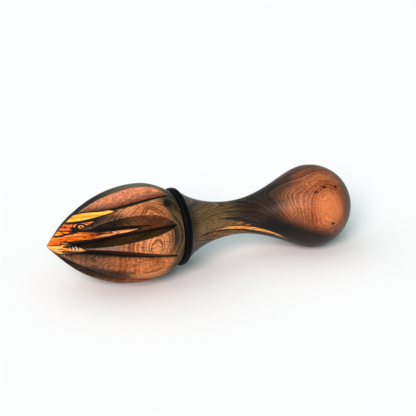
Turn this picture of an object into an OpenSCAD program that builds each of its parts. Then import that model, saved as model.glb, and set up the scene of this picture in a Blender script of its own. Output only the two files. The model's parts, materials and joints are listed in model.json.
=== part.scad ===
// Hand-held wooden citrus reamer, turned on a lathe and carved: a pointed head with eight juice flutes,
// a black collar ring, and a waisted handle with a ball grip, glued together on one hidden loose tenon.
// It lies on its side as it would on a table. Units are millimetres and +Z is up.

/* [Head] */
// Length of the head from its point to the collar ring
head_len = 63.6; // [62:0.2:66]
// Largest diameter of the head, measured over the lands between the flutes
head_d = 48.4; // [46:0.2:52]
// Distance from the point to the largest diameter
head_belly = 45.4; // [44:0.2:47]
// Diameter of the head where it meets the collar ring
head_base_d = 36.4; // [35:0.2:38]

/* [Flutes] */
// Number of carved flutes
flute_count = 8; // [6:1:9]
// Distance from the point to the front end of a flute
flute_front = 5; // [4:0.5:9]
// Distance from the point to the rear end of a flute
flute_rear = 59.5; // [56:0.5:61]
// Height by which the valley of a flute bows outwards at its middle
flute_bow = 2.6; // [1.5:0.1:4]
// Angle of the gentle wall of a flute from the plane through its valley
gentle_wall = 58; // [46:1:60]
// Angle of the steep wall of a flute from the plane through its valley
steep_wall = 41; // [36:1:50]
// Angle by which a flute turns away from the axis towards its front end
flute_yaw = 2; // [0:0.5:3]
// Roll of the whole reamer about its axis as it lies
roll = 37.5; // [0:0.5:44.5]

/* [Collar ring] */
// Thickness of the ring along the axis
ring_t = 4.2; // [3:0.1:6]
// Outside diameter of the ring
ring_d = 38.6; // [38.2:0.2:41]
// Radius that rounds the two outer edges of the ring
ring_round = 1.8; // [0.5:0.1:2]

/* [Handle] */
// Length of the handle from the collar ring to its end
handle_len = 92.8; // [88:0.2:98]
// Diameter of the handle where it meets the collar ring
handle_base_d = 36; // [35:0.2:37]
// Distance from the ring to the narrowest place of the neck
waist_at = 28; // [26:0.2:31]
// Smallest diameter of the neck
waist_d = 17.1; // [16.4:0.1:20]
// Distance from the ring to the largest diameter of the ball grip
ball_at = 71.6; // [68:0.2:74]
// Largest diameter of the ball grip
ball_d = 42; // [40:0.2:45]

/* [Joint dowel] */
// Diameter of the loose tenon, and of the mortises and the ring bore that it fills
dowel_d = 12; // [10:0.5:12]
// Depth of the mortise in the head
head_mortise = 24; // [18:1:28]
// Depth of the mortise in the handle
handle_mortise = 20; // [16:1:22]
// Room left for glue at each end of the tenon
glue_gap = 1; // [0.5:0.5:2]
// Chamfer on the two ends of the tenon
dowel_chamfer = 0.8; // [0.4:0.1:1.2]

/* [Hidden] */
$fn = 96;
// Straight bands along each curved stretch of a turned outline
bands = 10;
// Straight lengths along the valley of a flute, their overrun at its ends, and the cutter's height
valley_lengths = 3;
overrun = 12;
cutter_h = 20;
// Overlap that makes a bore cut cleanly through a face
through = 1;

handle_at = head_len + ring_t;
total_len = handle_at + handle_len;

// Outlines are lists of [distance from the point of the head, radius].
// A curved stretch leaves point a towards b and arrives at point d from c.
function along(a, b, c, d, t) =
    pow(1 - t, 3) * a + 3 * t * pow(1 - t, 2) * b + 3 * t * t * (1 - t) * c + pow(t, 3) * d;
function stretch(a, b, c, d) = [for (i = [1:bands]) along(a, b, c, d, i / bands)];

// The head swells from a slightly blunt point to its belly, then rounds in towards the ring
blunt = [0.5, 1.1];
belly = [head_belly, head_d / 2];
head_end = [head_len, head_base_d / 2];
head_outline = concat(
    [[0, 0], blunt],
    stretch(blunt, blunt + [6.2, 6], belly - [27, 0], belly),
    stretch(belly, belly + [8, 0], head_end + [-5.2, 3.3], head_end));

// The handle leaves the ring at a slant, narrows to the waist and swells into the ball grip
neck_start = [handle_at, handle_base_d / 2];
waist = [handle_at + waist_at, waist_d / 2];
ball = [handle_at + ball_at, ball_d / 2];
handle_end = [total_len, 0];
handle_outline = concat(
    [neck_start],
    stretch(neck_start, neck_start + [9.8, -8.8], waist - [4, 0], waist),
    stretch(waist, waist + [20, 0], ball - [10.8, 0], ball),
    stretch(ball, ball + [12.4, 0], handle_end + [0, 11], handle_end));

// The belly of the head and the ball both touch the table, so the axis slopes down to the ball
lie = atan((belly[1] - ball[1]) / (ball[0] - belly[0]));
point_h = belly[1] * cos(lie) + belly[0] * sin(lie);
far_end = max([for (p = handle_outline) p[0] * cos(lie) + p[1] * sin(lie)]);

// Lays down what is built up the Z axis from the point of the head,
// with the middle of its length over the origin and its lowest line at z = 0
module lay_down() {
    translate([-far_end / 2, 0, point_h])
        rotate([0, 90 + lie, 0])
            rotate([0, 0, roll])
                children();
}

// Solid of revolution inside an outline
module turned(outline) {
    from = outline[0][0];
    to = outline[len(outline) - 1][0];
    rotate_extrude()
        polygon(concat([[0, from]], [for (p = outline) [p[1], p[0]]], [[0, to]]));
}

// Mortise or bore for the tenon, from one distance along the axis to another
module tenon_bore(from, to) {
    translate([0, 0, from]) cylinder(h = to - from, d = dowel_d);
}

// The valley of a flute is an arc between its two ends, as [distance, radius] points
function on_head(s) = [s, lookup(s, head_outline)];
function valley_point(t) =
    on_head(flute_front) * (1 - t) + on_head(flute_rear) * t + [0, 4 * flute_bow * t * (1 - t)];

// One straight length of the cutter of a flute, a prism whose lower edge is the valley
module v_cutter(from, to) {
    run = to - from;
    slope = atan2(run[1], run[0]);
    translate([from[1], 0, from[0]])
        rotate([0, slope, 0])
            translate([0, 0, -overrun])
                linear_extrude(norm(run) + 2 * overrun)
                    polygon([
                        [0, 0],
                        [cutter_h, cutter_h * tan(steep_wall)],
                        [cutter_h, -cutter_h * tan(gentle_wall)]]);
}

module flute_cutter() {
    rear = valley_point(1);
    translate([rear[1], 0, rear[0]])
        rotate([flute_yaw, 0, 0])
            translate([-rear[1], 0, -rear[0]])
                for (i = [0:valley_lengths - 1])
                    v_cutter(valley_point(i / valley_lengths), valley_point((i + 1) / valley_lengths));
}

module reamer_head() {
    color([0.66, 0.36, 0.2])
        lay_down()
            difference() {
                turned(head_outline);
                for (i = [0:flute_count - 1])
                    rotate([0, 0, (i + 0.5) * 360 / flute_count]) flute_cutter();
                tenon_bore(head_len - head_mortise, head_len + through);
            }
}

// The ring's rim is two rounded edges with a short flat between them
module collar_ring() {
    rim_r = ring_d / 2;
    color([0.03, 0.03, 0.035])
        lay_down()
            difference() {
                translate([0, 0, head_len])
                    rotate_extrude() {
                        translate([0, ring_round]) square([rim_r, ring_t - 2 * ring_round]);
                        square([rim_r - ring_round, ring_t]);
                        for (h = [ring_round, ring_t - ring_round])
                            translate([rim_r - ring_round, h]) circle(ring_round);
                    }
                tenon_bore(head_len - through, handle_at + through);
            }
}

module handle() {
    color([0.5, 0.27, 0.15])
        lay_down()
            difference() {
                turned(handle_outline);
                tenon_bore(handle_at - through, handle_at + handle_mortise);
            }
}

module joint_dowel() {
    from = head_len - head_mortise + glue_gap;
    to = handle_at + handle_mortise - glue_gap;
    r = dowel_d / 2;
    color([0.8, 0.65, 0.45])
        lay_down()
            rotate_extrude()
                polygon([
                    [0, from], [r - dowel_chamfer, from], [r, from + dowel_chamfer],
                    [r, to - dowel_chamfer], [r - dowel_chamfer, to], [0, to]]);
}

reamer_head();
collar_ring();
handle();
joint_dowel();
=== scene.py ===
"""Looks of the turned and carved citrus reamer: refined wood meshes, procedural wood, soft studio light."""
import json
import math
from collections import namedtuple

import bpy
import numpy as np
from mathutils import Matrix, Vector


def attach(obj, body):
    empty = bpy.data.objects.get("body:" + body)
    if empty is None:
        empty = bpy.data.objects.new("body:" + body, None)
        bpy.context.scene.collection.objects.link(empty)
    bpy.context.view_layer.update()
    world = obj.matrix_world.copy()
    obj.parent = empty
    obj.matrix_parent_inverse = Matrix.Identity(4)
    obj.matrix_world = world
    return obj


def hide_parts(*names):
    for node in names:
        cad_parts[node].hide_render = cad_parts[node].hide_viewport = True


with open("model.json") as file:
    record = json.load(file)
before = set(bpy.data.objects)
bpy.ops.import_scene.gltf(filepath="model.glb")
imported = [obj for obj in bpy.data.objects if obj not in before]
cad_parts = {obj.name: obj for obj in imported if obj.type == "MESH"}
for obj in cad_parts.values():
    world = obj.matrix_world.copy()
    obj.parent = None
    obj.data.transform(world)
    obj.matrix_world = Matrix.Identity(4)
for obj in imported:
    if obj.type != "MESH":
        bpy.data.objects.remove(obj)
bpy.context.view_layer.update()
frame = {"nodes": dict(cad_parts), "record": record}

MM = 0.001
FULL_TURN = 2 * math.pi

# ---------------------------------------------------------------- the reamer's own axis, from the frame
MOUNTS = {m["name"]: m for m in frame["record"]["mounts"]}
POINT = np.array(MOUNTS["fruit_cone"]["pos_m"])          # the point of the head
AXIS = -np.array(MOUNTS["fruit_cone"]["axis"])           # from the point towards the ball
AXIS = AXIS / np.linalg.norm(AXIS)
SIDE = np.array([0.0, -1.0, 0.0])                        # radius at angle 0, towards the viewer
UP = np.cross(SIDE, AXIS)                                # radius at angle 90 degrees

# Sizes along the axis and radii, in millimetres from the point of the head
HEAD_LEN, HEAD_R, HEAD_BELLY, HEAD_BASE_R = 63.6, 24.2, 45.4, 18.2
RING_T, RING_R = 4.2, 19.3
HANDLE_AT = HEAD_LEN + RING_T
NECK_R, WAIST_AT, WAIST_R = 18.0, HANDLE_AT + 28.0, 8.55
BALL_AT, BALL_R, END_AT = HANDLE_AT + 71.6, 21.0, HANDLE_AT + 92.8
TENON_R, HEAD_MORTISE, HANDLE_MORTISE = 6.0, 24.0, 20.0


# ---------------------------------------------------------------- outlines and meshes
def bezier(a, b, c, d, n=80):
    """n points along the cubic curve from a to d that b and c pull on."""
    t = np.linspace(0, 1, n)[:, None]
    a, b, c, d = (np.array(p, float) for p in (a, b, c, d))
    return (1 - t) ** 3 * a + 3 * (1 - t) ** 2 * t * b + 3 * (1 - t) * t ** 2 * c + t ** 3 * d


def evenly(points, step):
    """The same outline with its points about step millimetres apart."""
    run = np.concatenate([[0], np.cumsum(np.hypot(*np.diff(points, axis=0).T))])
    at = np.linspace(0, run[-1], max(2, int(round(run[-1] / step))))
    return np.stack([np.interp(at, run, points[:, i]) for i in (0, 1)], 1)


def head_outline():
    """Blunt point, full belly and rounded-in base, as (distance, radius)."""
    blunt, belly, base = (0.5, 1.1), (HEAD_BELLY, HEAD_R), (HEAD_LEN, HEAD_BASE_R)
    nose = bezier((0, 0), (0, 0.45), (0.2, 0.8), blunt, 12)
    front = bezier(blunt, (6.7, 7.1), (HEAD_BELLY - 27, HEAD_R), belly)
    back = bezier(belly, (HEAD_BELLY + 8, HEAD_R), (HEAD_LEN - 5.2, HEAD_BASE_R + 3.3), base)
    return np.vstack([nose, front[1:], back[1:]])


def handle_outline():
    """Neck down to the waist, swell up to the ball, and the ball's round end, as (distance, radius)."""
    start, waist, ball = (HANDLE_AT, NECK_R), (WAIST_AT, WAIST_R), (BALL_AT, BALL_R)
    neck = bezier(start, (HANDLE_AT + 9.8, NECK_R - 8.8), (WAIST_AT - 4, WAIST_R), waist)
    swell = bezier(waist, (WAIST_AT + 20, WAIST_R), (BALL_AT - 10.8, BALL_R), ball)
    cap = bezier(ball, (BALL_AT + 12.4, BALL_R), (END_AT, 11), (END_AT, 0))
    return np.vstack([neck, swell[1:], cap[1:]])


def place(s, radius, angle):
    """Points of the frame, in metres, from distance, radius (mm) and angle (radians)."""
    s, radius, angle = np.broadcast_arrays(s, radius, angle)
    sideways, upwards = radius * np.cos(angle), radius * np.sin(angle)
    return POINT + MM * (s[..., None] * AXIS + sideways[..., None] * SIDE + upwards[..., None] * UP)


def mesh_object(name, verts, faces):
    mesh = bpy.data.meshes.new(name)
    mesh.from_pydata(verts.tolist(), [], faces)
    mesh.validate()
    mesh.update()
    mesh.polygons.foreach_set("use_smooth", [True] * len(mesh.polygons))
    ob = bpy.data.objects.new(name, mesh)
    bpy.context.scene.collection.objects.link(ob)
    return ob


def quads(n_rows, n_cols, wrap=False):
    """Faces between neighbouring rings of points, and from the last ring to the first where they wrap."""
    faces = []
    for i in range(n_rows if wrap else n_rows - 1):
        for j in range(n_cols):
            k, m = (j + 1) % n_cols, (i + 1) % n_rows
            faces.append((i * n_cols + j, m * n_cols + j, m * n_cols + k, i * n_cols + k))
    return faces


def skin(name, rings, start_pole, end_pole):
    """A closed mesh over a stack of rings of points, each end drawn together at a pole."""
    n_rows, n_cols = rings.shape[:2]
    verts = np.vstack([rings.reshape(-1, 3), start_pole[None], end_pole[None]])
    first, last = n_rows * n_cols, n_rows * n_cols + 1
    faces = quads(n_rows, n_cols)
    for j in range(n_cols):
        k = (j + 1) % n_cols
        faces.append((first, j, k))
        faces.append((last, (n_rows - 1) * n_cols + k, (n_rows - 1) * n_cols + j))
    return mesh_object(name, verts, faces)


def ripple(s, angle, size, seed):
    """Slow hand-made unevenness of a surface, in millimetres: the mean of seven waves."""
    rng = np.random.default_rng(seed)
    waves = 7
    out = np.zeros(np.broadcast(s, angle).shape)
    for _ in range(waves):
        along, around, phase = rng.uniform(0.05, 0.35), rng.integers(1, 7), rng.uniform(0, FULL_TURN)
        out = out + np.sin(along * s + around * angle + phase)
    return size * out / waves


# ---------------------------------------------------------------- head with carved flutes
# A flute: its angle, its front and rear end, how far the front end drifts and the front half sags sideways,
# how far the valley bows outwards, the angles of its upper and lower wall from the radius, and the part of
# its angle by which the lower wall is steeper at the front end. Lengths are in millimetres, angles in degrees.
Flute = namedtuple("Flute", "angle front rear drift sag bow upper_wall lower_wall steepens")
FLUTES = [
    Flute(30, 5.5, 59.6, -1.9, 0.0, 2.6, 58, 41, 0.4),
    Flute(75, 15.5, 59.8, 3.4, -2.9, 1.2, 60, 50, 0),
    Flute(120, 6.5, 59.0, 0.6, 0.4, 2.4, 57, 43, 0),
    Flute(165, 5.0, 60.0, -1.2, 0.0, 2.6, 58, 41, 0.2),
    Flute(210, 8.0, 59.3, 0.8, -0.5, 2.3, 56, 44, 0),
    Flute(255, 5.5, 59.8, -0.8, 0.3, 2.7, 58, 42, 0),
    Flute(300, 4.5, 59.2, 1.2, 0.0, 2.6, 57, 42, 0.2),
    Flute(345.5, 5.0, 59.9, 0.8, 0.9, 2.6, 47, 53, 0),
]
# What a flute becomes at each distance along the axis, in millimetres and radians
Valley = namedtuple("Valley", "angle radius upper_wall lower_wall")

LIP = 0.07                        # how wide the worn lips between walls and lands are
CREASE = 0.012                    # how round a valley's bottom is, as a part of its radius
SAG_SCALE = 27 / 4                # brings u (1 - u)^2 to 1 at its peak
LEAST_OPENING = 0.15              # a wall that opens less than this never meets the surface
NO_CUT = 99.0                     # radius of a wall where it doesn't cut
LEAST_EDGE = math.radians(3)      # least width of the mesh's wall columns where a flute runs out
EDGE_GAP = 0.01                   # half the width of its land columns where two flutes cross, in radians
UNCUT = 9.0                       # distance from a valley that marks uncut wood
LAND_COLS, WALL_COLS = 7, 9       # columns of the mesh on each land and on each wall
HEAD_STEP, HANDLE_STEP = 0.33, 0.7          # distance between the rings of the meshes
HANDLE_COLS, RING_COLS = 160, 192


def soft_min(values, width):
    """The smallest of the values, blended over about this width where two are close."""
    return -width * np.log(sum(np.exp(-(v - values[0]) / width) for v in values)) + values[0]


def wrapped(angle):
    """The same angle between minus and plus half a turn."""
    return (angle + math.pi) % FULL_TURN - math.pi


def flute_valley(flute, s, outline):
    """The valley of a flute at distances s along this outline."""
    u = (s - flute.front) / (flute.rear - flute.front)
    to_front = np.clip(1 - u, 0, 1)
    front_r, rear_r = (np.interp(end, outline[:, 0], outline[:, 1]) for end in (flute.front, flute.rear))
    radius = np.maximum(front_r + (rear_r - front_r) * u + 4 * flute.bow * u * (1 - u), 0.3)
    sideways = flute.drift * (1 - u) + flute.sag * SAG_SCALE * np.clip(u, 0, 1) * to_front ** 2
    angle = math.radians(flute.angle) + np.arctan2(sideways, np.maximum(radius, 4))
    lower_wall = math.radians(flute.lower_wall) * (1 - flute.steepens * to_front)
    return Valley(angle, radius, math.radians(flute.upper_wall), lower_wall)


def wall_radius(delta, valley):
    """Radius of a flute's two walls at angle delta from its valley."""
    cot = np.where(delta > 0, 1 / math.tan(valley.upper_wall), 1 / np.tan(valley.lower_wall[:, None]))
    lean = np.sqrt((np.sin(delta) * cot) ** 2 + CREASE ** 2) - CREASE
    opening = np.cos(delta) - lean
    cuts = (opening > LEAST_OPENING) & (np.cos(delta) > 0)
    return np.where(cuts, valley.radius[:, None] / np.maximum(opening, LEAST_OPENING), NO_CUT)


def wall_width(valley_r, wall, surface_r):
    """Angle between the valley and the edge where a wall meets the surface."""
    x = np.clip(valley_r * np.sin(wall) / surface_r, 0, 1)
    return np.sqrt(np.maximum(wall - np.arcsin(x), 0) ** 2 + LEAST_EDGE ** 2)


def lower_edge(valley, surface):
    """Angle at which the lower wall meets the surface."""
    return valley.angle - wall_width(valley.radius, valley.lower_wall, surface)


def upper_edge(valley, surface):
    """Angle at which the upper wall meets the surface."""
    return valley.angle + wall_width(valley.radius, valley.upper_wall, surface)


def eased(n):
    """n fractions from 0 to just under 1, closer together at both ends."""
    return (1 - np.cos(np.linspace(0, math.pi, n + 1)[:-1])) / 2


def head_columns(valleys, surface):
    """Angle of each mesh column at each distance: lower wall, upper wall and land, flute by flute."""
    cols = []
    start = lower_edge(valleys[0], surface)
    for valley, following in zip(valleys, valleys[1:] + valleys[:1]):
        upper = upper_edge(valley, surface)
        end = lower_edge(following, surface) + (FULL_TURN if following is valleys[0] else 0)
        middle, crossed = (upper + end) / 2, upper > end
        upper = np.where(crossed, middle - EDGE_GAP, upper)
        end = np.where(crossed, middle + EDGE_GAP, end)
        for first, last, n in ((start, valley.angle, WALL_COLS), (valley.angle, upper, WALL_COLS),
                               (upper, end, LAND_COLS)):
            cols += [first + (last - first) * f for f in eased(n)]
        start = end
    return np.stack(cols, 1)


def wall_marks(angle, radii, valleys):
    """Where the carved walls are, for the wood's colour: cut depth of each wall, distance from the valley."""
    walls = np.stack(radii[1:])
    nearest = np.argmin(walls, 0)
    depth = np.clip(radii[0] - walls.min(0), 0, None)
    delta = np.choose(nearest, [wrapped(angle - v.angle[:, None]) for v in valleys])
    off = np.abs(delta) * np.choose(nearest, [v.radius[:, None] + 0 * angle for v in valleys])
    return {"upper_mm": depth * (delta > -0.001), "lower_mm": depth * (delta < 0.001),
            "valley_mm": np.where(depth > 0.02, np.minimum(off, UNCUT), UNCUT)}


def store_marks(ob, marks):
    """Keep the marks as attributes of the mesh, whose other points, on the base and the poles, are uncut."""
    for name, values in marks.items():
        rest = np.full(len(ob.data.vertices) - values.size, UNCUT if name == "valley_mm" else 0.0)
        layer = ob.data.attributes.new(name, "FLOAT", "POINT")
        layer.data.foreach_set("value", np.concatenate([values.ravel(), rest]))


def build_head():
    """The head from the point over the carved skin to the base and into the mortise."""
    fine = head_outline()
    outline = evenly(fine, HEAD_STEP)[1:]
    valleys = [flute_valley(flute, outline[:, 0], fine) for flute in FLUTES]
    angle = head_columns(valleys, outline[:, 1])
    s, surface = outline[:, :1], outline[:, 1:]
    front_fade, rear_fade = np.minimum(1, s / 15), np.minimum(1, (HEAD_LEN - s) / 6)
    radii = [surface + ripple(s, angle, size=0.12, seed=3) * front_fade * rear_fade]
    radii += [wall_radius(wrapped(angle - valley.angle[:, None]), valley) for valley in valleys]
    lip = np.minimum(LIP, 0.02 + surface * 0.05)
    rings = place(s, soft_min(radii, lip), angle)

    # the base: a small round-over, the flat joint face and the mortise
    bottom = HEAD_LEN - HEAD_MORTISE
    inner = np.array([(HEAD_LEN, HEAD_BASE_R - 0.5), (HEAD_LEN, TENON_R + 1), (HEAD_LEN, TENON_R),
                      (bottom, TENON_R), (bottom, TENON_R / 2)])
    base = place(inner[:, :1], inner[:, 1:], angle[-1][None])
    poles = place(np.array([0.0, bottom]), 0.0, 0.0)
    ob = skin("head_carved", np.vstack([rings, base]), poles[0], poles[1])
    store_marks(ob, wall_marks(angle, radii, valleys))
    return ob


# ---------------------------------------------------------------- handle and ring
def turned_piece(name, outline, cols, waver, seed):
    """A lathe-turned closed solid: its outline runs from one point on the axis to the other."""
    angle = np.linspace(0, FULL_TURN, cols, endpoint=False)[None]
    s, r = outline[1:-1, :1], outline[1:-1, 1:]
    radius = r + ripple(s, angle, waver, seed) * np.minimum(1, r / 8)
    ends = place(outline[[0, -1], 0], 0.0, 0.0)
    return skin(name, place(s, radius, angle), ends[0], ends[1])


def build_handle():
    """The handle from the mortise over the front face's rounded lip to the end of the ball."""
    lip = bezier((HANDLE_AT, NECK_R - 0.9), (HANDLE_AT, NECK_R - 0.3), (HANDLE_AT + 0.25, NECK_R - 0.12),
                 (HANDLE_AT + 0.8, NECK_R - 0.75), 8)
    curve = evenly(handle_outline(), HANDLE_STEP)
    curve = curve[curve[:, 0] > HANDLE_AT + 1.2]
    bottom = HANDLE_AT + HANDLE_MORTISE
    inside = [(bottom, 0), (bottom, TENON_R / 2), (bottom, TENON_R),
              (HANDLE_AT, TENON_R), (HANDLE_AT, TENON_R + 2)]
    return turned_piece("handle_turned", np.vstack([inside, lip, curve]), HANDLE_COLS, waver=0.05, seed=11)


def build_ring():
    """The black ring: two soft shoulders that meet in a nearly flat rim, and its bore."""
    t = np.linspace(math.pi / 2, -math.pi / 2, 25)
    half, depth = RING_T / 2, 2.1
    rim = np.stack([HEAD_LEN + half - half * np.sign(np.sin(t)) * np.abs(np.sin(t)) ** 0.8,
                    RING_R - depth + depth * np.cos(t) ** 0.75], 1)
    outline = np.vstack([[(HEAD_LEN, TENON_R)], rim, [(HANDLE_AT, TENON_R)]])
    angle = np.linspace(0, FULL_TURN, RING_COLS, endpoint=False)[None]
    rings = place(outline[:, :1], outline[:, 1:], angle)
    return mesh_object("ring_blackwood", rings.reshape(-1, 3), quads(*rings.shape[:2], wrap=True))


head = build_head()
handle = build_handle()
ring = build_ring()
dowel = frame["nodes"]["joint_dowel"]


# ---------------------------------------------------------------- tools for the materials
def linear(c):
    """Linear value of one 8-bit display value."""
    return ((c / 255 + 0.055) / 1.055) ** 2.4 if c > 10 else c / 255 / 12.92


def srgb(r, g, b):
    """Linear colour from 8-bit display values."""
    return linear(r), linear(g), linear(b), 1.0


class Net:
    """Short names for building a node material."""

    def __init__(self, name):
        self.mat = bpy.data.materials.new(name)
        self.mat.use_nodes = True
        self.tree = self.mat.node_tree
        self.bsdf = self.tree.nodes["Principled BSDF"]

    def node(self, kind, **settings):
        n = self.tree.nodes.new(kind)
        for key, value in settings.items():
            setattr(n, key, value)
        return n

    def plug(self, socket, value):
        if isinstance(value, bpy.types.NodeSocket):
            self.tree.links.new(value, socket)
        else:
            socket.default_value = value

    def math(self, op, *values):
        n = self.node("ShaderNodeMath", operation=op)
        for i, v in enumerate(values):
            self.plug(n.inputs[i], v)
        return n.outputs[0]

    def chain(self, op, values):
        out = values[0]
        for x in values[1:]:
            out = self.math(op, out, x)
        return out

    def add(self, *values):
        return self.chain("ADD", values)

    def mul(self, *values):
        return self.chain("MULTIPLY", values)

    def most(self, *values):
        return self.chain("MAXIMUM", values)

    def sub(self, a, b):
        return self.math("SUBTRACT", a, b)

    def other(self, mask):
        """1 where the mask is 0, and 0 where it is 1."""
        return self.sub(1.0, mask)

    def absol(self, a):
        return self.math("ABSOLUTE", a)

    def zigzag(self, x):
        """0.5 at whole numbers, falling to 0 halfway between them."""
        return self.absol(self.sub(self.math("FRACT", x), 0.5))

    def scaled_square(self, x, x0, reach):
        """1 where x is as far as reach from x0, growing with the square of the distance."""
        return self.math("POWER", self.absol(self.mul(self.sub(x, x0), 1 / reach)), 2.0)

    def step(self, x, low, high):
        """Smooth rise from 0 at low to 1 at high; high may be the smaller."""
        n = self.node("ShaderNodeMapRange", interpolation_type="SMOOTHSTEP")
        ends = (1.0, 0.0) if high < low else (0.0, 1.0)
        for socket, v in zip(n.inputs, (x, min(low, high), max(low, high), *ends)):
            self.plug(socket, v)
        return n.outputs[0]

    def noise(self, vector, detail, rough=0.5, distortion=0.0):
        n = self.node("ShaderNodeTexNoise", noise_dimensions="3D")
        for key, v in (("Vector", vector), ("Scale", 1.0), ("Detail", detail), ("Roughness", rough),
                       ("Distortion", distortion)):
            self.plug(n.inputs[key], v)
        return n.outputs[0]

    def noise_1d(self, w, scale, detail, rough=0.5):
        n = self.node("ShaderNodeTexNoise", noise_dimensions="1D")
        for key, v in (("W", w), ("Scale", scale), ("Detail", detail), ("Roughness", rough)):
            self.plug(n.inputs[key], v)
        return n.outputs[0]

    def white_noise(self, w):
        n = self.node("ShaderNodeTexWhiteNoise", noise_dimensions="1D")
        self.plug(n.inputs["W"], w)
        return n.outputs["Value"]

    def vector(self, x, y, z):
        n = self.node("ShaderNodeCombineXYZ")
        for socket, v in zip(n.inputs, (x, y, z)):
            self.plug(socket, v)
        return n.outputs[0]

    def mix(self, factor, a, b, mode="MIX"):
        n = self.node("ShaderNodeMix", data_type="RGBA", blend_type=mode, clamp_result=False)
        factor_in, a_in, b_in = n.inputs[0], n.inputs[6], n.inputs[7]
        self.plug(factor_in, factor)
        self.plug(a_in, a)
        self.plug(b_in, b)
        return n.outputs[2]

    def darken(self, factor, colour, tint):
        return self.mix(factor, colour, srgb(*tint), "MULTIPLY")

    def ramp(self, factor, *stops):
        n = self.node("ShaderNodeValToRGB")
        elements = n.color_ramp.elements
        while len(elements) < len(stops):
            elements.new(0.5)
        for element, (at, colour) in zip(elements, stops):
            element.position = at
            element.color = srgb(*colour)
        self.plug(n.inputs[0], factor)
        return n.outputs[0]

    def bump(self, height, strength, distance):
        n = self.node("ShaderNodeBump")
        self.plug(n.inputs["Height"], height)
        n.inputs["Strength"].default_value = strength
        n.inputs["Distance"].default_value = distance
        return n.outputs[0]

    def attribute(self, name):
        return self.node("ShaderNodeAttribute", attribute_name=name).outputs["Fac"]


# The tree's layers lie across this direction: 20 degrees up from the side, leaning a little to the ball
LAYER_ANGLE, LAYER_LEAN = math.radians(20), 0.061
LAYER_DIR = math.cos(LAYER_ANGLE) * SIDE + math.sin(LAYER_ANGLE) * UP
CROSS_DIR = -math.sin(LAYER_ANGLE) * SIDE + math.cos(LAYER_ANGLE) * UP


def across(angle, radius):
    """(h, w) of a place round the axis, see Wood."""
    turned = math.radians(angle) - LAYER_ANGLE
    return radius * math.cos(turned), radius * math.sin(turned)


class Wood(Net):
    """Wood that is solid through the reamer, with coordinates in millimetres from the point of the head.

    s runs along the axis, h out through the layers and w across them, a to the side and b up."""

    def __init__(self, name):
        super().__init__(name)
        from_point = self.node("ShaderNodeVectorMath", operation="SUBTRACT")
        self.plug(from_point.inputs[0], self.node("ShaderNodeTexCoord").outputs["Object"])
        from_point.inputs[1].default_value = tuple(POINT)
        self.s, self.h, self.w, self.a, self.b = (
            self.along(from_point.outputs[0], d) for d in (AXIS, LAYER_DIR, CROSS_DIR, SIDE, UP))

    def along(self, vector, direction):
        n = self.node("ShaderNodeVectorMath", operation="DOT_PRODUCT")
        self.plug(n.inputs[0], vector)
        n.inputs[1].default_value = tuple(float(c) / MM for c in direction)
        return n.outputs["Value"]

    def stretched(self, s_len, h_len, w_len, shift=0.0):
        """Coordinates in units of these lengths in millimetres, for noise of that shape."""
        return self.vector(self.add(self.mul(self.s, 1 / s_len), shift), self.mul(self.h, 1 / h_len),
                           self.mul(self.w, 1 / w_len))

    def waver(self, s_len, other_len, size, shift, detail=1.0):
        """Noise of this size in millimetres, about zero."""
        noise = self.noise(self.stretched(s_len, other_len, other_len, shift), detail)
        return self.mul(self.sub(noise, 0.5), 2 * size)

    def squares(self, s0, h0, w0, rs, rh, rw):
        """The scaled squares of the distances from a place along s, h and w."""
        return (self.scaled_square(self.s, s0, rs), self.scaled_square(self.h, h0, rh),
                self.scaled_square(self.w, w0, rw))

    def blob(self, s0, h0, w0, rs, rh, rw, soft, edge=0.0):
        """1 inside an ellipsoid about (s0, h0, w0), falling to 0 over soft of its radius.

        edge moves its surface in or out, as a part of the radius."""
        d = self.math("SQRT", self.add(*self.squares(s0, h0, w0, rs, rh, rw)))
        return self.step(self.add(d, edge), 1 + soft / 2, 1 - soft / 2)

    def spot(self, s0, angle, radius, rs, rw, edge):
        """A small mark on the skin at a distance, angle (degrees) and radius."""
        h0, w0 = across(angle, radius)
        return self.blob(s0, h0, w0, rs, 3.0, rw, 0.9, edge)

    def streak(self, start, end, half, bend, wander):
        """How far inside a pointed, bent streak a point is, in millimetres; start and end are (s, w)."""
        (s0, w0), (s1, w1) = start, end
        u = self.mul(self.sub(self.s, s0), 1 / (s1 - s0))
        hump = self.mul(u, self.other(u), 4)
        centre = self.add(w0, self.mul(u, w1 - w0), self.mul(hump, bend))
        off = self.absol(self.sub(self.add(self.w, wander), centre))
        return self.sub(self.mul(hump, half), off)


# ---------------------------------------------------------------- grain
def layers(wood, bumps, turn):
    """Depth through the tree's layers in millimetres, bent by slow waves and pushed out round knots.

    A bump is (distance, angle, radius, size, reach along, reach across). turn is None or
    (start, end, degrees): up to start the layers are turned about the axis, from end on no more."""
    through = wood.h
    if turn:
        start, end, degrees = turn
        angle = wood.mul(wood.step(wood.s, end, start), math.radians(degrees))
        cosine, sine = wood.math("COSINE", angle), wood.math("SINE", angle)
        through = wood.add(wood.mul(wood.h, cosine), wood.mul(wood.w, sine))
    slow, quick = wood.waver(45, 14, 2.2, 3.0), wood.waver(11, 5, 0.5, 7.0, 3.0)
    depth = wood.add(through, wood.mul(wood.s, LAYER_LEAN), slow, quick)
    rounding, fall_off, gain = 0.012, 1.3, 1.4       # a bump is exp(-fall_off * distance), round at its top
    for s0, angle, radius, size, reach_along, reach_across in bumps:
        squares = wood.squares(s0, *across(angle, radius), reach_along, reach_across, reach_across)
        d = wood.math("SQRT", wood.add(*squares, rounding))
        depth = wood.add(depth, wood.mul(wood.math("EXPONENT", wood.mul(d, -fall_off)), gain * size))
    return depth


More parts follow.
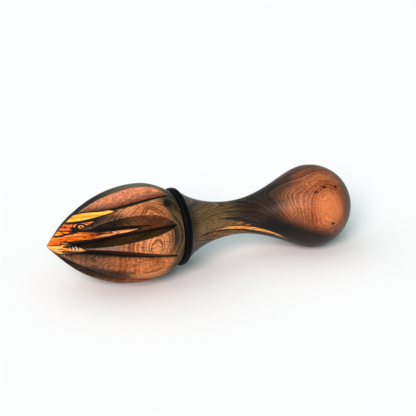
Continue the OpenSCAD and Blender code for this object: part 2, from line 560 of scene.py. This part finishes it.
def ring_lines(wood, depth, pitch, thick, shift=0.0):
    """Thin dark lines where the growth layers end, about pitch apart, each with its own strength."""
    uneven = wood.mul(wood.noise_1d(wood.add(depth, shift), 0.4, 1.0), 1.2)
    phase = wood.add(wood.mul(depth, 1 / pitch), uneven)
    line = wood.step(wood.zigzag(phase), thick / pitch, 0.25 * thick / pitch)
    strength = wood.white_noise(wood.add(wood.math("FLOOR", phase), shift))
    return wood.mul(line, wood.add(wood.mul(strength, 0.6), 0.4))


class Grain:
    """The shared pattern of one piece: layer depth, lines, bands, fibres, pores and the noise for painted
    glints.
    """

    def __init__(self, wood, bumps, pitch, turn=None):
        self.wood = wood
        self.depth = layers(wood, bumps, turn)
        self.lines = ring_lines(wood, self.depth, pitch, 0.38 * pitch)
        self.hair = ring_lines(wood, self.depth, 0.51 * pitch, 0.18 * pitch, 31.0)
        self.fade = wood.step(wood.noise(wood.stretched(14, 4, 4, 9.0), 2.0), 0.3, 0.6)
        self.band = wood.noise_1d(self.depth, 0.2, 2.0, 0.55)
        self.fibre = wood.noise(wood.stretched(4, 0.45, 0.45), 3.0, 0.65)
        self.pore = wood.noise(wood.stretched(2.2, 0.36, 0.36, 5.0), 1.0, 0.5)
        self.painted_glint = wood.noise(wood.stretched(3.2, 0.5, 0.5, 17.0), 2.0, 0.6)

    def bands(self, dark, mid, light):
        """Broad soft bands of three tones through the layers."""
        return self.wood.ramp(self.band, (0.3, dark), (0.44, mid), (0.58, light), (0.72, mid))

    def draw(self, colour, calm, line_tint=(66, 34, 20)):
        """Layer lines over the colour, weaker where calm is 1."""
        wood = self.wood
        lines = wood.most(self.lines, wood.mul(self.hair, 0.35))
        lines = wood.mul(lines, wood.add(0.65, wood.mul(self.fade, 0.35)))
        return wood.darken(wood.mul(lines, wood.other(wood.mul(calm, 0.6))), colour, line_tint)


def finish_wood(wood, grain, colour, clean, rough, gloss):
    """Fibre and pore darkening and painted glints along the grain, weaker where clean is 1, with roughness and
    bump to match.
    """
    marked = wood.other(wood.mul(clean, 0.8))
    fibre = wood.mul(wood.step(grain.fibre, 0.58, 0.34), marked)
    colour = wood.darken(wood.mul(fibre, 0.65), colour, (112, 88, 76))
    # painted glints: short bright flecks along the grain, standing in for reflections off the pores
    painted_glint = wood.mul(wood.step(grain.painted_glint, 0.56, 0.7), marked)
    colour = wood.mix(wood.mul(painted_glint, 0.8), colour, (1.75, 1.6, 1.5, 1.0), "MULTIPLY")
    pores = wood.mul(wood.step(grain.pore, 0.61, 0.71), marked)
    colour = wood.darken(wood.mul(pores, 0.5), colour, (64, 44, 36))
    wood.plug(wood.bsdf.inputs["Base Color"], colour)
    rough = wood.add(rough, wood.mul(wood.sub(grain.fibre, 0.5), 0.2), wood.mul(pores, 0.15))
    wood.plug(wood.bsdf.inputs["Roughness"], rough)
    wood.bsdf.inputs["Specular IOR Level"].default_value = gloss
    relief = wood.add(wood.mul(grain.fibre, 0.5), wood.mul(grain.lines, -0.3), wood.mul(pores, -0.8))
    wood.plug(wood.bsdf.inputs["Normal"], wood.bump(relief, 0.35, 0.00014))
    return wood.mat


# ---------------------------------------------------------------- wood of the handle
EYE = (140.8, 19.6, 21.0)                    # middle of the rings on the ball: distance, angle, radius
NECK_KNOT = (74, 32, 13.5)
PIN_KNOTS = ((146.7, 50, 19.8), (135, 45, 20.8), (142.6, -3, 20.8), (139.8, 50, 21))


def handle_wood():
    """Olive neck, dark swell, and a warm ball with rings round one place, a black underside that is partly
    painted shade, and painted shade on the ball's end.
    """
    wood = Wood("handle_wood")
    grain = Grain(wood, [(*EYE, 3.0, 5.2, 9.5), (*NECK_KNOT, 2.0, 6.0, 7.0)], 0.95, (104, 134, 70))
    uneven = wood.waver(16, 9, 0.5, 11.0, 3.0)
    warm = wood.blob(142, 14, 4.0, 19, 24, 17.5, 1.1, uneven)
    orange = grain.bands((190, 100, 54), (207, 114, 66), (220, 128, 76))
    dark = grain.bands((13, 12, 7), (30, 24, 14), (54, 40, 25))
    olive = grain.bands((70, 56, 36), (118, 92, 58), (146, 112, 70))
    neck = wood.step(wood.add(wood.s, wood.mul(uneven, 10)), 106, 84)
    colour = wood.mix(neck, dark, olive)
    colour = wood.mix(warm, colour, orange)
    streaks = wood.mul(wood.step(grain.band, 0.55, 0.45), wood.step(wood.w, 4, 12))
    colour = wood.darken(wood.mul(streaks, 0.3), colour, (120, 100, 70))
    eye = wood.blob(141, 20, 0, 9, 9, 9, 1.0)
    colour = grain.draw(colour, wood.add(wood.mul(eye, 1.1), wood.mul(neck, 0.5)), (84, 48, 32))
    flank = wood.mul(wood.other(warm), wood.step(wood.s, 96, 112))
    colour = wood.mix(wood.mul(flank, grain.hair, 0.4), colour, srgb(116, 76, 54))
    colour = underside_figure_and_shade(wood, grain, colour, uneven)
    collar = wood.step(wood.add(wood.s, wood.mul(uneven, 2)), 75, 69)
    colour = wood.darken(wood.mul(collar, 0.8), colour, (118, 112, 96))
    # painted shade: the ball's far end darkened towards green, where its rim turns away from the light
    end = wood.step(wood.s, 146, 155)
    colour = wood.darken(wood.mul(end, 0.95), colour, (58, 94, 66))
    for knot in PIN_KNOTS:
        colour = wood.darken(wood.spot(*knot, 1.1, 0.55, uneven), colour, (40, 26, 20))
    return finish_wood(wood, grain, neck_sapwood(wood, colour), wood.mul(eye, 0.75), rough=0.38, gloss=0.17)


def underside_figure_and_shade(wood, grain, colour, uneven):
    """The underside is nearly black, up to a line that slants down towards the ball's end: the wood's dark
    figure with painted shade over it.
    """
    slant = wood.mul(wood.sub(wood.s, 134), 0.42, wood.step(wood.s, 98, 116))
    # partly painted shade: the lower side darkened nearly to black, over the wood's own dark figure
    under = wood.step(wood.add(wood.w, slant, wood.mul(uneven, 3)), -7.0, -13.0)
    colour = wood.darken(wood.mul(under, 0.93), colour, (18, 28, 18))
    return wood.mix(wood.mul(under, grain.hair, 0.25), colour, srgb(64, 54, 34))


def neck_sapwood(wood, colour):
    """Sapwood under the neck: a bright upper edge, dull loops below it and a blue-black line above."""
    wander = wood.waver(10, 4, 0.5, 2.0, 3.0)
    inner = wood.noise(wood.stretched(10, 6, 0.55), 2.0)
    loops = wood.ramp(inner, (0.36, (26, 24, 14)), (0.46, (176, 116, 56)), (0.52, (58, 48, 26)),
                      (0.58, (196, 130, 66)), (0.64, (40, 34, 20)))
    dull = wood.streak((70, -6.5), (114, -13.0), 2.4, 2.5, wander)
    nested = wood.zigzag(wood.mul(dull, 1.2))
    loops = wood.mix(wood.mul(wood.step(nested, 0.24, 0.36), 0.9), loops, srgb(26, 22, 12))
    colour = wood.mix(wood.step(dull, -0.7, -0.1), colour, srgb(20, 20, 14))
    colour = wood.mix(wood.step(dull, 0.0, 0.4), colour, loops)
    blue = wood.streak((85, 1.6), (108, -4.6), 0.9, 1.4, wood.mul(wander, 1.3))
    colour = wood.mix(wood.mul(wood.step(blue, -0.3, 0.3), 0.85), colour, srgb(14, 24, 26))
    flecks = wood.streak((89, -1.4), (104, -4.2), 0.9, 0.5, wood.mul(wander, 1.6))
    flecks = wood.mul(wood.step(flecks, 0.0, 0.5), wood.step(inner, 0.46, 0.54))
    colour = wood.mix(flecks, colour, srgb(206, 124, 60))
    bright = wood.streak((78, -4.1), (122.5, -14.2), 0.8, 4.1, wood.mul(wander, 0.6))
    colour = wood.mix(wood.step(bright, -0.7, -0.1), colour, srgb(20, 20, 14))
    sap = wood.ramp(inner, (0.35, (224, 124, 50)), (0.6, (254, 186, 100)))
    fade = wood.step(wood.add(wood.s, wood.mul(wander, 6)), 84, 94)
    sap = wood.mix(fade, srgb(170, 116, 58), sap)
    return wood.mix(wood.step(bright, -0.1, 0.2), colour, sap)


# ---------------------------------------------------------------- wood of the head
HEAD_KNOT = (56.9, 60.5, 21.6)               # distance, angle, radius
# Slopes b / a of two planes through the axis: in the land above the middle flute, and in the land below it
TOP_LAND, LOW_LAND = math.tan(math.radians(57)), math.tan(math.radians(10))


def side_of(wood, slope):
    """1 above a plane through the axis, 0 below it, on the side of the viewer."""
    return wood.step(wood.sub(wood.b, wood.mul(wood.a, slope)), -1.0, 1.0)


def swirl(wood, s0, w0, reach_s, reach_w, turns):
    """Rings round a small knot: how much of the place they cover, and dark lines from 0 to 1."""
    squares = wood.scaled_square(wood.s, s0, reach_s), wood.scaled_square(wood.w, w0, reach_w)
    d = wood.add(wood.math("SQRT", wood.add(*squares)), wood.waver(4, 2, 0.12, 8.0, 2.0))
    return wood.step(d, 1.15, 0.95), wood.step(wood.zigzag(wood.mul(d, turns)), 0.12, 0.22)


def sapwood_tones(wood, uneven, wander, length):
    """Colours inside the sapwood: orange, paler behind and below, with black lines, a curl and some bars."""
    tone = wood.ramp(length, (0.36, (196, 70, 12)), (0.45, (238, 108, 16)), (0.58, (250, 132, 28)),
                     (0.66, (252, 186, 96)))
    pale = wood.ramp(length, (0.4, (70, 36, 18)), (0.45, (222, 118, 56)), (0.56, (244, 152, 84)),
                     (0.64, (250, 190, 126)))
    tone = wood.mix(wood.step(wood.add(wood.s, wood.mul(wander, 5)), 16, 24), tone, pale)
    ink = wood.noise(wood.stretched(10, 12, 1.6, 6.0), 1.0, 0.5, 0.8)
    ink = wood.step(wood.absol(wood.sub(ink, 0.5)), 0.035, 0.015)
    tone = wood.mix(wood.mul(ink, 0.9), tone, srgb(22, 12, 8))
    low = wood.ramp(length, (0.38, (222, 112, 40)), (0.47, (250, 160, 76)), (0.6, (253, 196, 112)))
    low = wood.mix(wood.mul(ink, 0.8), low, srgb(30, 16, 10))
    tone = wood.mix(wood.step(wood.w, 1.2, 0.0), tone, low)
    covers, loops = swirl(wood, 14.6, 8.4, 3.2, 1.9, 1.8)
    tone = wood.mix(covers, tone, wood.mix(loops, srgb(236, 132, 56), srgb(8, 6, 4)))
    patch = wood.blob(11.6, 12, 7.6, 2.2, 9, 1.0, 0.5, uneven)
    tone = wood.mix(patch, tone, srgb(14, 9, 6))
    # pale and dark bars across the grain beside the point
    bars = wood.zigzag(wood.add(wood.mul(wood.s, 0.75), wood.mul(wander, 0.5)))
    bars = wood.mix(wood.step(bars, 0.16, 0.3), srgb(226, 184, 150), srgb(36, 38, 46))
    return wood.mix(wood.blob(12.6, 10, -0.4, 3.8, 8, 1.8, 0.5, uneven), tone, bars)


def sapwood(wood, colour, uneven, on_upper):
    """The yellow and orange sapwood at the point, on one side, with the fungus lines that run through it.

    Returns the colour and where the sapwood is."""
    near = wood.mul(wood.step(wood.a, -1.6, -0.6), wood.other(wood.mul(on_upper, side_of(wood, TOP_LAND))))
    wander = wood.waver(9, 4, 0.55, 2.0, 3.0)
    length = wood.noise(wood.stretched(13, 14, 0.9, 1.0), 2.0, 0.55, 0.5)
    body = wood.most(wood.streak((-14, 4.4), (41, 4.2), 2.5, 0.0, wander),
                     wood.streak((-2, 5.0), (20.5, 10.5), 2.2, 0.6, wander),
                     wood.streak((-6, 1.5), (15.5, -3.1), 2.9, 0.0, wander))
    colour = wood.mix(wood.mul(wood.step(body, -1.0, -0.1), near), colour, srgb(18, 14, 10))
    inside = wood.mul(wood.step(body, 0.0, 0.2), near)
    colour = wood.mix(inside, colour, sapwood_tones(wood, uneven, wander, length))
    black_lines = (((3, 6.9), (50, 5.0), 0.95), ((9, 5.4), (40, 4.6), 0.35), ((-4, 0.2), (18, 1.0), 0.32),
                   ((2, 3.8), (17, 7.2), 0.5), ((6, 9.4), (25, 11.4), 0.5))
    for start, end, half in black_lines:
        line = wood.streak(start, end, half, 0.0, wood.mul(wander, 0.5))
        colour = wood.mix(wood.mul(wood.step(line, -0.1, 0.2), near), colour, srgb(14, 10, 8))
    wedge = wood.streak((6, 10.0), (30.5, 14.1), 1.5, 1.0, wood.mul(wander, 0.3))
    yellow = wood.ramp(length, (0.4, (236, 132, 36)), (0.5, (250, 180, 54)), (0.66, (255, 208, 98)))
    colour = wood.mix(wood.mul(wood.step(wedge, -0.8, -0.1), near), colour, srgb(22, 16, 12))
    in_wedge = wood.mul(wood.step(wedge, 0.0, 0.2), near)
    return wood.mix(in_wedge, colour, yellow), wood.most(inside, in_wedge)


def carved_walls(wood, colour, uneven, on_upper, on_lower):
    """Oil sinks into the cut grain of the flutes: pink far walls, olive near walls, and cutter marks. Painted
    shade darkens the far walls near their valleys, the far walls below the middle flute and the lower walls
    along their valleys, and a painted highlight runs along the far walls' lips.
    """
    valley = wood.attribute("valley_mm")
    top, bottom = side_of(wood, TOP_LAND), wood.other(side_of(wood, LOW_LAND))
    # the far walls' own pink, with painted shade darkening them within a few millimetres of their valleys
    pink_with_valley_shade = wood.mix(wood.step(valley, 0.6, 4.2), srgb(76, 44, 30), srgb(242, 150, 111))
    colour = wood.mix(wood.mul(on_upper, top, 0.75), colour, pink_with_valley_shade)
    middle = wood.mul(on_upper, wood.other(top), wood.other(bottom))
    colour = wood.darken(wood.mul(middle, 0.95), colour, (124, 126, 104))
    light_end = wood.step(wood.add(wood.s, wood.mul(uneven, 8)), 38, 54)
    # painted shade: the far walls below the middle flute face down and are darkened nearly to black, less so
    # towards the base
    shaded = wood.mul(on_upper, bottom, wood.other(wood.mul(light_end, 0.35)))
    colour = wood.darken(wood.mul(shaded, 0.97), colour, (18, 22, 20))
    olive = wood.mul(on_lower, wood.other(bottom))
    colour = wood.darken(wood.mul(olive, 0.96), colour, (44, 66, 28))
    low_wall = wood.mul(on_lower, bottom)
    colour = wood.darken(wood.mul(low_wall, 0.8), colour, (226, 208, 184))
    mottle = wood.step(wood.noise(wood.stretched(15, 3.5, 3.5, 23.0), 2.0, 0.5, 0.6), 0.52, 0.62)
    colour = wood.darken(wood.mul(mottle, low_wall, 0.6), colour, (120, 116, 96))
    rasp = wood.noise(wood.stretched(0.5, 3.5, 3.5, 2.0), 2.0, 0.6)
    # painted shade: the lower walls darkened along their valleys, towards the point, roughened by the rasp
    # noise
    lower_valley_shade = wood.step(wood.add(valley, wood.mul(uneven, 3), wood.mul(rasp, 2)), 3.6, 1.6)
    lower_valley_shade = wood.mul(lower_valley_shade, low_wall, wood.step(wood.s, 54, 36))
    colour = wood.darken(wood.mul(lower_valley_shade, 0.8), colour, (56, 58, 50))
    cutter = wood.mul(wood.most(on_upper, on_lower), wood.step(rasp, 0.56, 0.38))
    colour = wood.darken(wood.mul(cutter, 0.35), colour, (150, 132, 120))
    # painted highlight: a pale line along the worn lip of the far walls, where it catches the light
    depth = wood.attribute("upper_mm")
    lip = wood.mul(wood.step(depth, 0.0, 0.04), wood.step(depth, 0.3, 0.1), wood.step(rasp, 0.45, 0.55))
    return wood.mix(wood.mul(lip, 0.55), colour, srgb(206, 154, 112))


def head_figure(wood, grain, uneven, walls):
    """Brown at the point, orange behind it, olive on the shoulder, and dark along one land."""
    orange = grain.bands((186, 102, 56), (218, 132, 80), (234, 152, 98))
    brown = grain.bands((110, 74, 52), (150, 104, 74), (176, 122, 88))
    olive = grain.bands((62, 54, 34), (104, 90, 58), (138, 112, 74))
    umber = grain.bands((34, 24, 18), (50, 35, 25), (88, 54, 38))
    colour = wood.mix(wood.step(wood.add(wood.mul(uneven, 8), wood.s), 36, 22), orange, brown)
    dark_land = wood.blob(24, 18, 9.8, 14, 14, 3.8, 0.9, uneven)
    colour = wood.mix(wood.mul(dark_land, 0.9), colour, umber)
    shoulder = wood.step(wood.add(wood.s, wood.mul(uneven, 6)), 53, 60)
    colour = wood.mix(shoulder, colour, olive)
    broad = ring_lines(wood, grain.depth, 1.9, 0.8, 57.0)
    colour = wood.darken(wood.mul(shoulder, broad, 0.95), colour, (66, 60, 50))
    return grain.draw(colour, walls)


def far_lands_shade_and_reflection(wood, grain, colour, on_upper):
    """Past the top of the head the lands are nearly black in front and grey behind: painted shade where they
    turn away from the light, and a painted grey reflection where they are seen at a grazing angle.
    """
    # painted shade and painted reflection on the lands past the top
    far_shade = wood.mul(wood.step(wood.a, 0.4, -0.8), wood.other(on_upper), wood.step(wood.b, 0, 3))
    tone = wood.mix(wood.step(wood.s, 22, 46), srgb(4, 9, 9), srgb(124, 122, 100))
    tone = wood.mix(wood.mul(grain.lines, 0.8), tone, srgb(26, 28, 22))
    return wood.mix(wood.mul(far_shade, 0.95), colour, tone)


def hidden_side(wood, grain, colour, uneven, walls):
    """The side away from the viewer, past a plane through the axis, is plain brown."""
    nearness = wood.add(wood.mul(wood.a, 0.88), wood.mul(wood.b, 0.47), wood.mul(uneven, 2))
    behind = wood.step(nearness, -1.0, -8.0)
    plain = grain.bands((56, 38, 26), (104, 68, 44), (142, 92, 60))
    plain = grain.draw(plain, 0.0)
    plain = wood.darken(wood.mul(walls, 0.7), plain, (176, 160, 140))
    return wood.mix(behind, colour, plain)


def under_point(wood, grain, colour, uneven):
    """Under the point the wood is dark along a crease and olive below it."""
    beneath = wood.step(wood.add(wood.b, wood.mul(wood.a, 0.5)), 0.3, -0.8)
    below = wood.step(wood.add(wood.b, wood.mul(wood.a, 2.6)), 1.0, -1.4)
    fore = wood.step(wood.add(wood.s, wood.mul(uneven, 6)), 42, 30)
    strip = wood.mix(wood.mul(grain.fibre, 0.8), srgb(146, 96, 52), srgb(52, 46, 30))
    tone = wood.mix(below, srgb(20, 24, 20), strip)
    return wood.mix(wood.mul(beneath, fore, 0.85), colour, tone)


def head_wood():
    """The head's figure, with sapwood at the point, the carved walls, a knot, and painted shade in the valleys
    and on the far lands.
    """
    wood = Wood("head_wood")
    bumps = [(*HEAD_KNOT, 2.5, 4.0, 4.0), (47.3, -5, 24.0, 8.0, 11.0, 19.0), (46, 54, 24.0, 3.0, 7.0, 9.0)]
    grain = Grain(wood, bumps, 1.15)
    uneven = wood.waver(16, 9, 0.5, 11.0, 3.0)
    on_upper, on_lower = (wood.step(wood.attribute(name), 0.03, 0.15) for name in ("upper_mm", "lower_mm"))
    walls = wood.most(on_upper, on_lower)
    colour = head_figure(wood, grain, uneven, walls)
    colour = far_lands_shade_and_reflection(wood, grain, colour, on_upper)
    round_knot = wood.spot(*HEAD_KNOT, 6.5, 5.5, wood.mul(uneven, 0.4))
    colour = wood.darken(wood.mul(round_knot, 0.7), colour, (110, 106, 84))
    rose = wood.blob(23, 12, -1.4, 11, 14, 3.0, 0.8, uneven)
    colour = wood.mix(wood.mul(rose, wood.other(walls), 0.85), colour, srgb(138, 102, 92))
    colour = carved_walls(wood, colour, uneven, on_upper, on_lower)
    colour, clean = sapwood(wood, colour, uneven, on_upper)
    colour = hidden_side(wood, grain, colour, uneven, walls)
    # painted shade: the valley floors darkened nearly to black, where the flutes' walls shade them
    valley = wood.step(wood.attribute("valley_mm"), 1.0, 0.2)
    colour = wood.darken(wood.mul(valley, 0.97), colour, (14, 14, 12))
    colour = under_point(wood, grain, colour, uneven)
    knot = wood.spot(*HEAD_KNOT, 2.7, 2.1, wood.mul(uneven, 0.6))
    colour = wood.mix(knot, colour, srgb(12, 15, 22))
    return finish_wood(wood, grain, colour, clean, rough=0.56, gloss=0.12)


# ---------------------------------------------------------------- plain woods
def blackwood():
    wood = Wood("blackwood")
    fibre = wood.noise(wood.stretched(6, 0.4, 0.4), 3.0, 0.6)
    wood.plug(wood.bsdf.inputs["Base Color"], wood.ramp(fibre, (0.35, (2, 3, 3)), (0.7, (9, 9, 10))))
    wood.plug(wood.bsdf.inputs["Roughness"], wood.add(0.42, wood.mul(fibre, 0.14)))
    wood.bsdf.inputs["Specular IOR Level"].default_value = 0.05
    wood.plug(wood.bsdf.inputs["Normal"], wood.bump(fibre, 0.15, 0.0001))
    return wood.mat


def tenon_wood():
    wood = Wood("tenon_wood")
    fibre = wood.noise(wood.stretched(8, 0.5, 0.5), 3.0, 0.6)
    wood.plug(wood.bsdf.inputs["Base Color"], wood.ramp(fibre, (0.3, (176, 140, 96)), (0.7, (214, 182, 138))))
    wood.bsdf.inputs["Roughness"].default_value = 0.6
    return wood.mat


def dress(ob, mat):
    """Give an object one material and no other."""
    ob.data.materials.clear()
    ob.data.materials.append(mat)


dress(head, head_wood())
dress(handle, handle_wood())
dress(ring, blackwood())
dress(dowel, tenon_wood())

for piece, node, slot in ((head, "reamer_head", "head_wood"), (handle, "handle", "handle_wood"),
                          (ring, "collar_ring", "blackwood")):
    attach(piece, "root")
    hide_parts(node)


# ---------------------------------------------------------------- stage, light, camera
def build_stage():
    """A wide plain floor in a slightly warm white."""
    bpy.ops.mesh.primitive_plane_add(size=60.0, location=(0, 0, 0))
    floor = bpy.context.object
    floor.name = "floor"
    cloth = Net("floor_cloth")
    cloth.bsdf.inputs["Base Color"].default_value = (0.93, 0.885, 0.89, 1)
    cloth.bsdf.inputs["Roughness"].default_value = 0.9
    dress(floor, cloth.mat)


def view_from(turn, rise):
    """Direction of view from a place turn degrees round to the left of the front and rise degrees up."""
    turn, rise = math.radians(turn), math.radians(rise)
    return Vector((math.sin(turn) * math.cos(rise), math.cos(turn) * math.cos(rise), -math.sin(rise)))


def aim(ob, ahead):
    """Put a light or camera in the scene, looking ahead."""
    ob.rotation_euler = ahead.to_track_quat("-Z", "Y").to_euler()
    bpy.context.scene.collection.objects.link(ob)


def sun_light(name, turn, rise, spread, strength, colour):
    """A far soft light from turn degrees to the left and rise degrees up, spread degrees wide."""
    data = bpy.data.lights.new(name, "SUN")
    data.energy, data.angle, data.color = strength, math.radians(spread), colour
    aim(bpy.data.objects.new(name, data), view_from(turn, rise))


def build_world():
    """Even blue-white light from everywhere."""
    world = bpy.data.worlds.new("studio")
    bpy.context.scene.world = world
    world.use_nodes = True
    background = world.node_tree.nodes["Background"]
    background.inputs["Color"].default_value = (0.66, 0.98, 1.0, 1)
    background.inputs["Strength"].default_value = 0.46


def build_camera():
    """A long lens that looks at a place on the table behind the reamer."""
    ahead, target, distance = view_from(22.71, 26.35), Vector((0.0265, 0.0564, 0.0)), 0.7614
    data = bpy.data.cameras.new("camera")
    data.lens, data.sensor_width = 121.2, 36.0
    data.clip_start, data.clip_end = 0.01, 50
    cam = bpy.data.objects.new("camera", data)
    cam.location = target - ahead * distance
    aim(cam, ahead)
    bpy.context.scene.camera = cam


build_stage()
sun_light("key", turn=38, rise=36, spread=26, strength=2.9, colour=(1.0, 0.85, 0.82))
sun_light("over", turn=120, rise=58, spread=70, strength=0.9, colour=(0.86, 0.91, 0.91))
build_world()
bpy.context.scene.view_settings.view_transform = "Standard"
build_camera()
